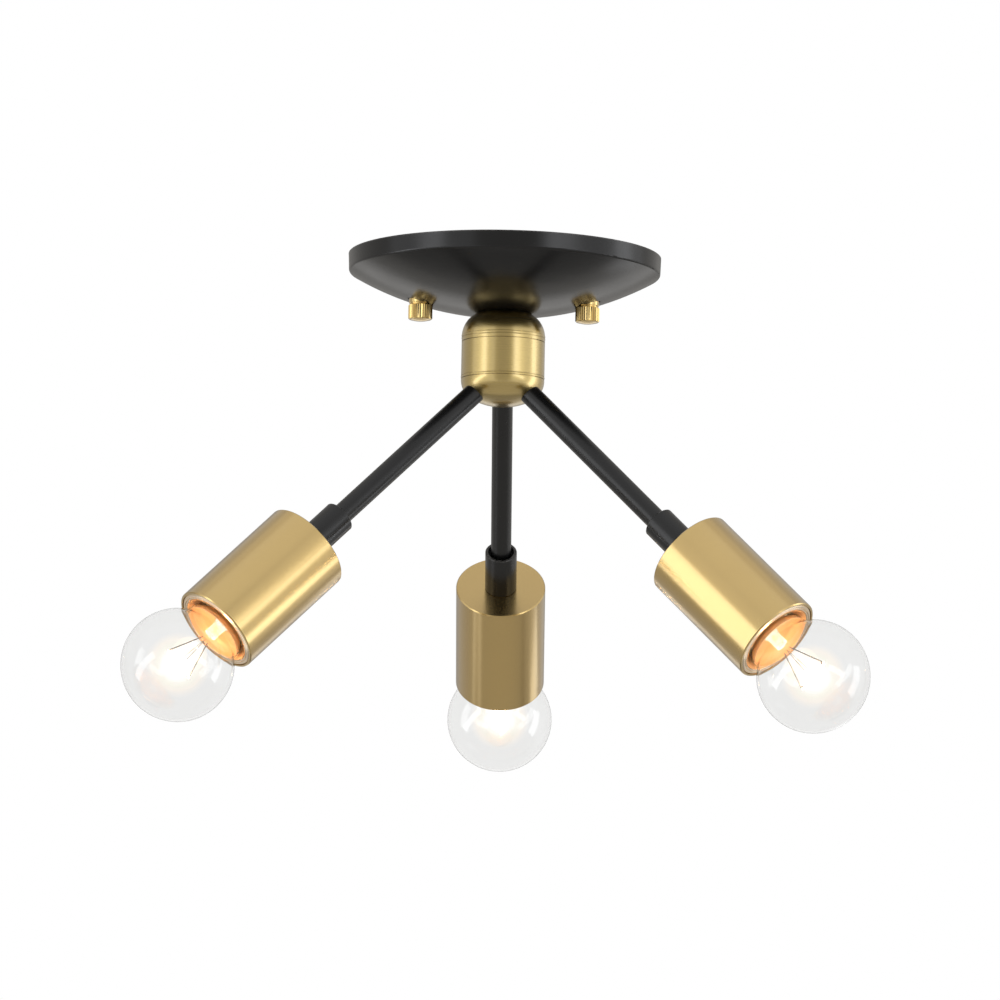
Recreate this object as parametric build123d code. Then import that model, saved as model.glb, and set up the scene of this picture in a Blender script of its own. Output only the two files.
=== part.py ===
from build123d import *
import os
from math import cos, hypot, pi, radians, sin, sqrt

# A semi flush ceiling light: a black domed canopy, a satin brass hub below it, and three
# straight black arms that carry brass socket cups with clear globe lamps.
# Millimetres. The origin is the centre of the ceiling plane, which the canopy's rim rests
# against. +Z points up into the ceiling, so the light hangs toward -Z, and its front is -Y.

# --- Driving dimensions ---------------------------------------------------------------------

# Canopy: a spun steel bowl with a nearly upright rim band and a shallow domed underside
RIM_R = 71.4
CREASE_R = 71.1
BAND_HEIGHT = 7.8
CANOPY_DEPTH = 26.3
DOME_RADIUS = 142.5
CANOPY_FLAT_R = 12.5
CANOPY_SHEET = 1.2
CREASE_EASE = 1.4
STUD_SPACING = 76.2
STUD_HOLE_R = 2.6
SEAT_R = 5.9
SEAT_Z = -19.0

# Mounting bracket: two crossed steel straps held by a hollow rivet
STRAP_THICK = 1.6
EDGE_EASE = 0.3
BOX_STRAP_LENGTH = 112.0
BOX_STRAP_WIDTH = 18.0
BOX_SLOT_SPACING = 79.4
BOX_SLOT_LENGTH = 24.0
BOX_SLOT_R = 2.6
CANOPY_STRAP_LENGTH = 92.0
CANOPY_STRAP_WIDTH = 16.0
EYELET_R = 6.0
EYELET_BORE_R = 4.6
EYELET_FLANGE_R = 7.6
EYELET_FLANGE = 0.8

# Canopy studs, their lock nuts and the knurled thumb nuts
NUT_EASE = 0.1
STUD_R = 2.08
STUD_TOP_Z = -1.0
STUD_END_Z = -26.4
LOCK_NUT_ACROSS = 8.7
LOCK_NUT_HEIGHT = 3.2
THUMB_RING_R = 5.3
THUMB_RING_HEIGHT = 3.2
THUMB_GROOVE = 0.4
THUMB_GROOVE_R = 4.8
KNURL_R = 5.5
KNURL_DEPTH = 0.32
KNURL_COUNT = 32
KNURL_HEIGHT = 6.9
KNURL_EASE = 0.5
THUMB_END_R = 4.7
THUMB_END_HEIGHT = 0.8
THUMB_BORE_R = 2.15
THUMB_BORE_DEPTH = 8.2
THUMB_SEAT_GAP = 0.1

# Earthing screw and lead
GROUND_X = 22.0
GROUND_SHANK_R = 2.0
GROUND_HEAD_R = 4.2
GROUND_HEAD = 2.2
GROUND_SLOT_WIDTH = 0.8
GROUND_SLOT_DEPTH = 0.5
GROUND_WIRE_R = 0.9
GROUND_RISE_X = 14.5
GROUND_BEND_R = 2.6

# Centre nipple, which hangs the hub from the canopy
NIPPLE_R = 5.0
NIPPLE_BORE_R = 4.0
NIPPLE_TOP_Z = -20.2
NIPPLE_NUT_ACROSS = 14.0
NIPPLE_NUT_HEIGHT = 3.0
WASHER_R = 9.0
WASHER_THICK = 1.0
LUG_REACH = 11.4
LUG_WIDTH = 3.6

# Hub: a domed cap, a sleeve and a domed body, one below the other
HUB_R = 19.0
HUB_WALL = 1.7
CAP_SEAM_Z = -39.6
BODY_SEAM_Z = -56.6
SEAM_GAP = 0.3
CAP_SHOULDER_R = 12.0
CAP_SHOULDER_RISE = 2.5
SPIGOT_HEIGHT = 2.5
SPIGOT_WALL = 1.4
WEB_TOP_Z = -46.0
WEB_THICK = 3.0
BODY_BOTTOM_Z = -69.2
BODY_CROWN_R = 30.0
BODY_CORNER_R = 10.0
BODY_CAVITY_R = 11.0
BODY_CAVITY_FLOOR_Z = -64.6
BODY_SPIGOT_BORE_R = 13.0
LINE_GROOVE = 0.28
CAP_LINE_RISE = 2.0
SLEEVE_LINE_RISE = 1.15

# Arms: distances along an arm are measured from the point where its axis meets the hub's axis
ARM_AZIMUTHS = {"left": 210.0, "right": 330.0, "rear": 90.0}
ARM_TILT = 42.4
ARM_Z = -50.8
TUBE_R = 4.75
TUBE_BORE_R = 3.5
TUBE_START = 14.5
COLLAR_START = 111.2
COLLAR_R = 7.4
COLLAR_MOUTH_R = 6.1
COLLAR_MOUTH_DEPTH = 3.6
COLLAR_EASE = 0.35
CUP_START = 133.2
TUBE_END = 146.0

# Socket cups and the lampholders inside them
CUP_R = 21.0
CUP_LENGTH = 60.0
CUP_WALL = 1.2
CUP_TOP = 2.0
CUP_EASE = 0.45
ARM_NUT_ACROSS = 14.0
ARM_NUT_HEIGHT = 4.0
HOLDER_R = 15.3
HOLDER_START = 141.0
HOLDER_NECK_R = 8.5
HOLDER_SHOULDER = 150.0
HOLDER_END = 190.0
CHAMBER_R = 11.0
CHAMBER_START = 147.0
WEB_START = 157.5
WEB_END = 161.5
SHELL_BORE_R = 13.25
SHELL_WALL = 0.4
SHELL_LENGTH = 24.0
SHELL_FLOOR_R = 6.8
RIVET_R = 1.1
RIVET_HEAD_R = 2.0
RIVET_HEAD = 0.5
LIVE_OFFSET = 4.0
NEUTRAL_OFFSET = 8.5
LEAF_THICK = 0.6
LEAF_WIDTH = 5.0
LEAF_BEND = 2.6
LEAF_HALF_TONGUE = 1.4
LEAF_HOOK = 2.0
TIP_GAP = 0.15
RING_R = 19.75
RING_BORE_R = 15.35
RING_START = 188.6
RING_RECESS = 0.25
RING_EASE = 0.8

# Lamps: clear 50 mm globes on an E26 screw base
GLOBE_R = 25.0
GLOBE_BEYOND_MOUTH = 24.6
GLASS_WALL = 0.6
NECK_R = 11.3
NECK_START = 184.0
NECK_FLARE_START = 188.0
NECK_FLARE_END = 193.0
NECK_FLARE_R = 14.8
NECK_BLEND_R = 6.0
LAMP_LENGTH = 78.0
BUTTON_R = 3.8
BUTTON_HEIGHT = 1.5
BUTTON_CROWN = 1.1
INSULATOR_TIP_R = 4.6
INSULATOR_PLUG = 1.2
BASE_END_R = 11.8
BASE_START = 170.2
BASE_RIM_START = 187.3
BASE_RIM_END = 190.0
BASE_RIM_R = 13.05
THREAD_CREST_R = 12.95
THREAD_ROOT_R = 12.1
THREAD_PITCH = 3.63
THREAD_TURNS = 4
THREAD_START = 172.0
STEM_R = 2.9
STEM_THROAT_R = 4.2
STEM_FLARE_START = 184.2
STEM_SEAL = 0.8
STEM_THROAT = 188.4
STEM_FLARE_END = 190.0
STEM_PRESS_START = 198.0
STEM_PRESS_END = 202.5
STEM_PRESS_WIDTH = 6.4
STEM_PRESS_THICK = 2.6
STEM_PRESS_EASE = 1.0
LEAD_R = 0.3
LEAD_FOOT = 200.0
LEAD_FOOT_OFFSET = 1.8
LEAD_TIP = 217.4
LEAD_TIP_OFFSET = 7.6
FILAMENT_R = 0.45
FILAMENT_SAG = 3.2
SUPPORT_R = 0.2
SUPPORT_FOOT_OFFSET = 0.5
SUPPORT_TIP = 216.4
SUPPORT_TIP_OFFSET = 4.0
LAMP_TURN = 90.0

# Wires: two for each lamp, up through its arm, the hub and the nipple to the ceiling
WIRE_R = 0.9
WIRE_TOP_Z = -0.6
WIRE_RING_R = 2.9
WIRE_HALF_ANGLE = 27.0
WIRE_BEND_R = 8.0
WIRE_JOG_R = 3.0
WIRE_END_R = 1.5
WIRE_JOG_START = 148.5
WIRE_JOG_END = 154.5

# --- Values worked out from them ------------------------------------------------------------

MOUTH = CUP_START + CUP_LENGTH
GLOBE_AT = MOUTH + GLOBE_BEYOND_MOUTH
LAMP_TIP = GLOBE_AT + GLOBE_R - LAMP_LENGTH
BUTTON_END = LAMP_TIP + BUTTON_HEIGHT
CUP_FLOOR = CUP_START + CUP_TOP
CANOPY_INSIDE_Z = -CANOPY_DEPTH + CANOPY_SHEET
WEB_BOTTOM_Z = WEB_TOP_Z - WEB_THICK


# --- Shapes that repeat ---------------------------------------------------------------------

def spun(section):
    """Spin a section drawn as (radius, height) about the Z axis."""
    return revolve(Plane.XZ * section, axis=Axis.Z)


def outline(*points):
    """A filled section through (radius, height) points, with straight sides."""
    return make_face(Polyline(*points, close=True))


def ring(outer_r, bore_r, low, high, ease=0.0):
    """A round plate or tube on the Z axis, with its outer edges bevelled by ease."""
    section = outline((bore_r, low), (outer_r, low), (outer_r, high), (bore_r, high))
    if ease:
        corners = [v for v in section.vertices() if v.X > bore_r + ease]
        section = chamfer(corners, ease)
    return spun(section)


def rod(radius, low, high):
    """A solid round bar on the Z axis."""
    return Pos(0, 0, low) * Cylinder(radius, high - low, align=(Align.CENTER, Align.CENTER, Align.MIN))


def hex_nut(across, bore_r, low, high):
    """A six-sided nut on the Z axis, with its corners turned off at both faces."""
    blank = Pos(0, 0, low) * extrude(RegularPolygon(across / 2, 6, major_radius=False), high - low)
    corner_r = across / 2 / cos(pi / 6)
    turned = ring(corner_r, 0, low, high, ease=NUT_EASE * corner_r)
    return (blank & turned) - rod(bore_r, low, high)


def arm_place(azimuth):
    """Where an arm's own frame lies: its Z runs out along the arm, its X is level."""
    level, slope = radians(azimuth), radians(ARM_TILT)
    out = (cos(level) * cos(slope), sin(level) * cos(slope), -sin(slope))
    return Plane(origin=(0, 0, ARM_Z), x_dir=(-sin(level), cos(level), 0), z_dir=out).location


def save(name, piece):
    export_step(piece, f"parts/{name}.step")


# --- Canopy ---------------------------------------------------------------------------------

def bowl(inset):
    """The space inside the canopy's outer face, drawn in by inset."""
    rim, crease = (RIM_R - inset, 0), (CREASE_R - inset, -BAND_HEIGHT + inset / 2)
    flat_edge = (CANOPY_FLAT_R, -CANOPY_DEPTH + inset)
    edges = Polyline((0, 0), rim, crease)
    edges += RadiusArc(crease, flat_edge, DOME_RADIUS - inset, short_sagitta=True)
    edges += Polyline(flat_edge, (0, -CANOPY_DEPTH + inset), (0, 0))
    section = make_face(edges)
    corner = [v for v in section.vertices() if hypot(v.X - crease[0], v.Y - crease[1]) < 0.01]
    return spun(fillet(corner, CREASE_EASE - inset / 2))


def canopy():
    """The bowl, with a flat sunk seat for each thumb nut and a hole for each stud."""
    filled = bowl(0)
    shell = filled - bowl(CANOPY_SHEET)
    low = -CANOPY_DEPTH - 1
    for side in (-1, 1):
        at = Pos(side * STUD_SPACING / 2, 0, 0)
        shell += (at * rod(SEAT_R + CANOPY_SHEET, low, SEAT_Z + CANOPY_SHEET)) & filled
    for side in (-1, 1):
        at = Pos(side * STUD_SPACING / 2, 0, 0)
        shell -= at * rod(SEAT_R, low, SEAT_Z)
        shell -= at * rod(STUD_HOLE_R, SEAT_Z - 1, SEAT_Z + CANOPY_SHEET + 1)
    return shell - rod(NIPPLE_R, low, CANOPY_INSIDE_Z + 1)


# --- Mounting bracket and fasteners ---------------------------------------------------------

def strap(length, width, top_z):
    """A flat steel strap along Y, with rounded ends and its top face at top_z."""
    plan = SlotOverall(length, width, rotation=90)
    return Pos(0, 0, top_z - STRAP_THICK) * extrude(plan, STRAP_THICK)


def box_strap():
    """The upper strap, along Y, with a slot at each end for the ceiling box's screws."""
    bar = strap(BOX_STRAP_LENGTH, BOX_STRAP_WIDTH, 0)
    slot = extrude(SlotOverall(BOX_SLOT_LENGTH, 2 * BOX_SLOT_R, rotation=90), 2 * STRAP_THICK)
    for side in (-1, 1):
        bar -= Pos(0, side * BOX_SLOT_SPACING / 2, -1.5 * STRAP_THICK) * slot
    return bar - rod(EYELET_R, -STRAP_THICK, 0)


def canopy_strap():
    """The lower strap, along X, with tapped holes for the canopy studs and earthing screw."""
    top, bottom = -STRAP_THICK, -2 * STRAP_THICK
    bar = Rot(0, 0, 90) * strap(CANOPY_STRAP_LENGTH, CANOPY_STRAP_WIDTH, top)
    for side in (-1, 1):
        bar -= Pos(side * STUD_SPACING / 2, 0, 0) * rod(STUD_R, bottom, top)
    bar -= Pos(GROUND_X, 0, 0) * rod(GROUND_SHANK_R, bottom, top)
    return bar - rod(EYELET_R, bottom, top)


def strap_eyelet():
    """The hollow rivet through both straps, rolled over below and flush above."""
    bottom = -2 * STRAP_THICK
    barrel = ring(EYELET_R, EYELET_BORE_R, bottom, 0)
    return barrel + ring(EYELET_FLANGE_R, EYELET_BORE_R, bottom - EYELET_FLANGE, bottom, ease=EDGE_EASE)


def canopy_studs():
    stud = ring(STUD_R, 0, STUD_END_Z, STUD_TOP_Z, ease=EDGE_EASE)
    half = STUD_SPACING / 2
    return Compound(children=[Pos(-half, 0, 0) * stud, Pos(half, 0, 0) * stud])


def stud_lock_nuts():
    high = -2 * STRAP_THICK
    nut = hex_nut(LOCK_NUT_ACROSS, STUD_R, high - LOCK_NUT_HEIGHT, high)
    half = STUD_SPACING / 2
    return Compound(children=[Pos(-half, 0, 0) * nut, Pos(half, 0, 0) * nut])


def thumb_nut():
    """A knurled brass nut: smooth ring, groove, knurled grip and a low domed end, blind bored."""
    top = SEAT_Z - THUMB_SEAT_GAP
    ring_low = top - THUMB_RING_HEIGHT
    knurl_high = ring_low - THUMB_GROOVE
    knurl_low = knurl_high - KNURL_HEIGHT
    nut = ring(THUMB_RING_R, 0, ring_low, top, ease=EDGE_EASE)
    nut += rod(THUMB_GROOVE_R, knurl_high, ring_low)
    flutes = []
    for step in range(2 * KNURL_COUNT):
        reach = KNURL_R - KNURL_DEPTH * (step % 2)
        turn = pi * step / KNURL_COUNT
        flutes.append((reach * cos(turn), reach * sin(turn)))
    grip = Pos(0, 0, knurl_low) * extrude(outline(*flutes), KNURL_HEIGHT)
    nut += grip & ring(KNURL_R, 0, knurl_low, knurl_high, ease=KNURL_EASE)
    end = (0, knurl_low - THUMB_END_HEIGHT)
    dome_r = (THUMB_END_R**2 + THUMB_END_HEIGHT**2) / (2 * THUMB_END_HEIGHT)
    edges = RadiusArc((THUMB_END_R, knurl_low), end, dome_r, short_sagitta=True)
    edges += Polyline(end, (0, knurl_low + 1), (THUMB_END_R, knurl_low + 1), (THUMB_END_R, knurl_low))
    nut += spun(make_face(edges))
    return nut - rod(THUMB_BORE_R, top - THUMB_BORE_DEPTH, top)


def ground_screw():
    """The earthing screw, up through the lower strap, with a slotted head below."""
    face = -2 * STRAP_THICK
    low = face - 2 * GROUND_WIRE_R - GROUND_HEAD
    screw = ring(GROUND_HEAD_R, 0, low, low + GROUND_HEAD, ease=EDGE_EASE)
    screw += rod(GROUND_SHANK_R, low + GROUND_HEAD, -STRAP_THICK)
    slot = Pos(0, 0, low) * Box(2 * GROUND_HEAD_R, GROUND_SLOT_WIDTH, 2 * GROUND_SLOT_DEPTH)
    return Pos(GROUND_X, 0, 0) * (screw - slot)


def ground_lead():
    """The bare earth lead, from a lug under the nipple nut up to an eye round the screw."""
    eye_z = -2 * STRAP_THICK - GROUND_WIRE_R
    eye_r = GROUND_SHANK_R + GROUND_WIRE_R
    lug_z = CANOPY_INSIDE_Z + WASHER_THICK + GROUND_WIRE_R
    eye_start = (GROUND_X, -eye_r, eye_z)
    lug = (WASHER_R, -eye_r, lug_z)
    rise_low = (GROUND_RISE_X, -eye_r, lug_z)
    rise_high = (GROUND_RISE_X, -eye_r, eye_z)
    path = FilletPolyline(lug, rise_low, rise_high, eye_start, radius=GROUND_BEND_R)
    path += ThreePointArc(eye_start, (GROUND_X + eye_r, 0, eye_z), (GROUND_X, eye_r, eye_z))
    return sweep(Plane(origin=lug, z_dir=(1, 0, 0)) * Circle(GROUND_WIRE_R), path=path)


def lock_washer():
    """The washer under the nipple nut, with the lug that takes the earth lead."""
    low = CANOPY_INSIDE_Z
    plate = ring(WASHER_R, NIPPLE_R, low, low + WASHER_THICK)
    middle = Pos((NIPPLE_R + LUG_REACH) / 2, -GROUND_SHANK_R - GROUND_WIRE_R, low + WASHER_THICK / 2)
    tongue = middle * Box(LUG_REACH - NIPPLE_R, LUG_WIDTH, WASHER_THICK)
    return plate + (tongue - rod(NIPPLE_R, low, low + WASHER_THICK))


def centre_nipple():
    return ring(NIPPLE_R, NIPPLE_BORE_R, WEB_BOTTOM_Z - 1, NIPPLE_TOP_Z, ease=EDGE_EASE)


def nipple_nut():
    low = CANOPY_INSIDE_Z + WASHER_THICK
    return hex_nut(NIPPLE_NUT_ACROSS, NIPPLE_R, low, low + NIPPLE_NUT_HEIGHT)


# --- Hub ------------------------------------------------------------------------------------

def cap_space(inset):
    """The space inside the cap's outer face, drawn in by inset."""
    shoulder_z = CAP_SEAM_Z + CAP_SHOULDER_RISE
    arc_r, arc_x = CAP_SHOULDER_R - inset, HUB_R - CAP_SHOULDER_R
    top = -CANOPY_DEPTH - inset
    flat_r = arc_x + sqrt(arc_r**2 - (top - shoulder_z) ** 2)
    side, low = HUB_R - inset, CAP_SEAM_Z + SEAM_GAP / 2
    edges = Polyline((0, top), (0, low), (side, low), (side, shoulder_z))
    edges += RadiusArc((side, shoulder_z), (flat_r, top), -arc_r, short_sagitta=True)
    edges += Line((flat_r, top), (0, top))
    return spun(make_face(edges))


def line_groove(z):
    """A fine turned line round the hub's outside."""
    return ring(HUB_R + 1, HUB_R - LINE_GROOVE, z - LINE_GROOVE / 2, z + LINE_GROOVE / 2)


def hub_top_cap():
    cap = cap_space(0) - cap_space(HUB_WALL)
    cap -= rod(NIPPLE_R, -CANOPY_DEPTH - 2 * HUB_WALL, -CANOPY_DEPTH)
    return cap - line_groove(CAP_SEAM_Z + CAP_LINE_RISE)


def hub_sleeve():
    """A turned sleeve with a spigot into the cap and a web that the nipple screws into."""
    high, low = CAP_SEAM_Z - SEAM_GAP / 2, BODY_SEAM_Z + SEAM_GAP / 2
    spigot_r = HUB_R - HUB_WALL
    sleeve = ring(HUB_R, spigot_r, low, high)
    sleeve += ring(spigot_r, spigot_r - SPIGOT_WALL, WEB_TOP_Z, high + SPIGOT_HEIGHT)
    sleeve += ring(spigot_r, NIPPLE_R, WEB_BOTTOM_Z, WEB_TOP_Z)
    return sleeve - line_groove(BODY_SEAM_Z + SLEEVE_LINE_RISE)


def hub_body():
    """The hub's lower part: crowned below, hollow above, with a slanting hole for each arm."""
    high = BODY_SEAM_Z - SEAM_GAP / 2
    crown = Pos(0, BODY_BOTTOM_Z + BODY_CROWN_R) * Circle(BODY_CROWN_R)
    section = crown & outline((0, BODY_BOTTOM_Z), (HUB_R, BODY_BOTTOM_Z), (HUB_R, high), (0, high))
    corner = [v for v in section.vertices() if v.X > HUB_R - 0.1 and v.Y < high - 1]
    body = spun(fillet(corner, BODY_CORNER_R))
    body += ring(HUB_R - HUB_WALL, BODY_SPIGOT_BORE_R, high, high + SPIGOT_HEIGHT)
    body -= rod(BODY_CAVITY_R, BODY_CAVITY_FLOOR_Z, high)
    for azimuth in ARM_AZIMUTHS.values():
        body -= arm_place(azimuth) * rod(TUBE_R, TUBE_START - 6, TUBE_START + 30)
    return body


# --- Arms and lampholders, each drawn on its own Z axis -------------------------------------

def arm_tube():
    return ring(TUBE_R, TUBE_BORE_R, TUBE_START, TUBE_END)


def collar():
    """A sleeve against the cup, with a wider open mouth round the tube at its upper end."""
    body = ring(COLLAR_R, TUBE_R, COLLAR_START, CUP_START, ease=COLLAR_EASE)
    return body - rod(COLLAR_MOUTH_R, COLLAR_START, COLLAR_START + COLLAR_MOUTH_DEPTH)


def socket_cup():
    """A drawn brass cup with a flat top, open at the lamp's end."""
    shell = ring(CUP_R, TUBE_R, CUP_START, MOUTH, ease=CUP_EASE)
    return shell - rod(CUP_R - CUP_WALL, CUP_FLOOR, MOUTH)


def arm_nuts():
    nut = hex_nut(ARM_NUT_ACROSS, TUBE_R, CUP_FLOOR, CUP_FLOOR + ARM_NUT_HEIGHT)
    return Compound(children=[arm_place(azimuth) * nut for azimuth in ARM_AZIMUTHS.values()])


def socket_body():
    """The lampholder: a terminal chamber, a web, and the bore that holds the screw shell."""
    shell_r = SHELL_BORE_R + SHELL_WALL
    outside = outline(
        (0, HOLDER_START), (HOLDER_NECK_R, HOLDER_START), (HOLDER_R, HOLDER_SHOULDER),
        (HOLDER_R, HOLDER_END), (0, HOLDER_END),
    )
    body = spun(outside) - rod(TUBE_R, HOLDER_START, CHAMBER_START)
    body -= rod(CHAMBER_R, CHAMBER_START, WEB_START) + rod(shell_r, WEB_END, HOLDER_END)
    for offset in (LIVE_OFFSET, -NEUTRAL_OFFSET):
        body -= Pos(offset, 0, 0) * rod(RIVET_R, WEB_START, WEB_END)
    return body


def rivet(offset):
    """A rivet through the lampholder's web, with its head in the terminal chamber."""
    head = rod(RIVET_HEAD_R, WEB_START - RIVET_HEAD, WEB_START)
    return Pos(offset, 0, 0) * (head + rod(RIVET_R, WEB_START, WEB_END))


def screw_shell():
    """The brass shell that the lamp screws into, riveted to the web by its floor."""
    outer_r = SHELL_BORE_R + SHELL_WALL
    shell = ring(outer_r, SHELL_BORE_R, WEB_END, WEB_END + SHELL_LENGTH)
    shell += ring(outer_r, SHELL_FLOOR_R, WEB_END, WEB_END + LEAF_THICK)
    return shell + rivet(-NEUTRAL_OFFSET)


def socket_contact():
    """The centre contact: a riveted leaf whose raised tongue just meets the lamp's tip."""
    high, face = LAMP_TIP - TIP_GAP, WEB_END
    foot, toe = LIVE_OFFSET + RIVET_HEAD_R, -LEAF_HALF_TONGUE
    leaf = outline(
        (foot, face), (foot, face + LEAF_THICK), (LEAF_BEND, face + LEAF_THICK),
        (LEAF_HALF_TONGUE, high), (toe, high), (toe - LEAF_THICK, high - LEAF_HOOK),
        (toe, high - LEAF_HOOK), (toe + LEAF_THICK / 2, high - LEAF_THICK),
        (LEAF_HALF_TONGUE - LEAF_THICK / 2, high - LEAF_THICK), (LEAF_BEND - LEAF_THICK / 2, face),
    )
    strip = extrude(Plane.XZ * leaf, LEAF_WIDTH / 2, both=True)
    return strip + rivet(LIVE_OFFSET)


def socket_ring():
    """The polished ring on the lampholder's end, which closes the cup's mouth round the lamp."""
    high = MOUTH - RING_RECESS
    section = outline(
        (RING_BORE_R, RING_START), (RING_R, RING_START), (RING_R, high), (RING_BORE_R, high)
    )
    inner_lip = [v for v in section.vertices() if v.X < RING_BORE_R + 0.1 and v.Y > high - 0.1]
    return spun(fillet(inner_lip, RING_EASE))


def arm_wires(azimuth):
    """Two wires from the ceiling down the nipple, round into the arm and on to the rivets."""
    place = arm_place(azimuth)
    half_angle = radians(WIRE_HALF_ANGLE)
    side = WIRE_RING_R * sin(half_angle)
    reach = WIRE_RING_R * cos(half_angle)
    level, slope = radians(azimuth), radians(ARM_TILT)
    wires = []
    for hand, offset in ((1, LIVE_OFFSET), (-1, NEUTRAL_OFFSET)):
        x = reach * cos(level) - hand * side * sin(level)
        y = reach * sin(level) + hand * side * cos(level)
        bend = Vector(x, y, ARM_Z - reach * sin(slope) / cos(slope))
        jog = (place * Pos(hand * side, 0, WIRE_JOG_START)).position
        turn = (place * Pos(hand * offset, 0, WIRE_JOG_END)).position
        end = (place * Pos(hand * offset, 0, WEB_START - RIVET_HEAD)).position
        top = Vector(x, y, WIRE_TOP_Z)
        radii = [WIRE_BEND_R, WIRE_JOG_R, WIRE_END_R]
        path = FilletPolyline(top, bend, jog, turn, end, radius=radii)
        wires.append(sweep(Plane(origin=top, z_dir=(0, 0, -1)) * Circle(WIRE_R), path=path))
    return Compound(children=wires)


# --- Lamps, drawn on the same axis as their lampholders -------------------------------------

def glass_space(inset):
    """The space inside the glass's outer face, drawn in by inset: globe, neck and blend."""
    globe = Pos(0, GLOBE_AT) * Circle(GLOBE_R - inset)
    neck, flare = NECK_R - inset, NECK_FLARE_R - inset
    half = [(neck, NECK_START - inset), (neck, NECK_FLARE_START), (flare, NECK_FLARE_END), (flare, GLOBE_AT)]
    mirrored = [(-x, y) for x, y in reversed(half)]
    section = globe + outline(*half, *mirrored)
    crease = [v for v in section.vertices() if NECK_FLARE_END + 0.5 < v.Y < GLOBE_AT - 2]
    section = fillet(crease, NECK_BLEND_R + inset)
    right_half = Pos(0, GLOBE_AT) * Rectangle(2 * GLOBE_R, 4 * GLOBE_R, align=(Align.MIN, Align.CENTER))
    return spun(section & right_half)


def bulb_glass():
    return glass_space(0) - glass_space(GLASS_WALL)


def bulb_base():
    """The screw base: a thin shell with rounded thread ridges and a plain rim that grips the glass."""
    rim = (BASE_RIM_R, BASE_RIM_START)
    flare_slope = (NECK_FLARE_R - NECK_R) / (NECK_FLARE_END - NECK_FLARE_START)
    rim_bore = NECK_R + flare_slope * (BASE_RIM_END - NECK_FLARE_START)
    edges = Polyline(
        rim, (BASE_RIM_R, BASE_RIM_END), (rim_bore, BASE_RIM_END), (NECK_R, NECK_FLARE_START),
        (NECK_R, BASE_START), (BASE_END_R, BASE_START), (THREAD_ROOT_R, THREAD_START),
    )
    at = THREAD_START
    for _ in range(THREAD_TURNS):
        middle, end = at + THREAD_PITCH / 2, at + THREAD_PITCH
        edges += ThreePointArc((THREAD_ROOT_R, at), (THREAD_CREST_R, middle), (THREAD_ROOT_R, end))
        at = end
    edges += Line((THREAD_ROOT_R, at), rim)
    return spun(make_face(edges))


def bulb_insulator():
    """The black glass cone between the base's end and its contact button."""
    plug = BASE_START + INSULATOR_PLUG
    return spun(outline(
        (0, BUTTON_END), (INSULATOR_TIP_R, BUTTON_END), (NECK_R, BASE_START), (NECK_R, plug), (0, plug)
    ))


def bulb_contact():
    """The solder button at the lamp's tip."""
    tip, edge = (0, LAMP_TIP), (BUTTON_R, LAMP_TIP + BUTTON_CROWN)
    crown_r = (BUTTON_R**2 + BUTTON_CROWN**2) / (2 * BUTTON_CROWN)
    edges = RadiusArc(tip, edge, crown_r, short_sagitta=True)
    edges += Polyline(edge, (BUTTON_R, BUTTON_END), (0, BUTTON_END), tip)
    return spun(make_face(edges))


def bulb_stem():
    """The glass mount: a flare sealed to the neck, a tube, and the flat press that holds the wires."""
    seal_r = NECK_R - GLASS_WALL
    stem = spun(outline(
        (0, STEM_FLARE_START), (seal_r, STEM_FLARE_START), (seal_r, STEM_FLARE_START + STEM_SEAL),
        (STEM_THROAT_R, STEM_THROAT), (STEM_R, STEM_FLARE_END), (STEM_R, STEM_PRESS_START),
        (0, STEM_PRESS_START),
    ))
    middle = (STEM_PRESS_START + STEM_PRESS_END) / 2
    press = Pos(0, 0, middle) * Box(STEM_PRESS_WIDTH, STEM_PRESS_THICK, STEM_PRESS_END - STEM_PRESS_START)
    upright = press.edges().filter_by(Axis.Z)
    mount = stem + fillet(upright, STEM_PRESS_EASE)
    for strand in bulb_filament().solids():
        mount -= strand
    return mount


def bulb_filament():
    """Two lead-in wires up from the press, the coil slung between them, and its two supports."""
    def wire(path, radius):
        return sweep(Plane(origin=path @ 0, z_dir=path % 0) * Circle(radius), path=path)

    pieces = []
    for side in (-1, 1):
        lead = Line((side * LEAD_FOOT_OFFSET, 0, LEAD_FOOT), (side * LEAD_TIP_OFFSET, 0, LEAD_TIP))
        pieces.append(wire(lead, LEAD_R))
        foot = (0, side * SUPPORT_FOOT_OFFSET, LEAD_FOOT)
        support = Line(foot, (0, side * SUPPORT_TIP_OFFSET, SUPPORT_TIP))
        pieces.append(wire(support, SUPPORT_R))
    near = LEAD_TIP_OFFSET + FILAMENT_R
    sag = (0, -LEAD_TIP_OFFSET + FILAMENT_SAG, LEAD_TIP)
    coil = ThreePointArc((-near, 0, LEAD_TIP + FILAMENT_R), sag, (near, 0, LEAD_TIP + FILAMENT_R))
    pieces.append(wire(coil, FILAMENT_R))
    return Compound(children=pieces)


# --- Write every piece ----------------------------------------------------------------------

os.makedirs("parts", exist_ok=True)

save("canopy", canopy())
save("box_strap", box_strap())
save("canopy_strap", canopy_strap())
save("strap_eyelet", strap_eyelet())
save("canopy_studs", canopy_studs())
save("stud_lock_nuts", stud_lock_nuts())
save("ground_screw", ground_screw())
save("ground_lead", ground_lead())
save("centre_nipple", centre_nipple())
save("nipple_nut", nipple_nut())
save("lock_washer", lock_washer())
save("hub_top_cap", hub_top_cap())
save("hub_sleeve", hub_sleeve())
save("hub_body", hub_body())
save("arm_nuts", arm_nuts())

for hand, side in (("left", -1), ("right", 1)):
    save(f"thumb_nut_{hand}", Pos(side * STUD_SPACING / 2, 0, 0) * thumb_nut())

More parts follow.
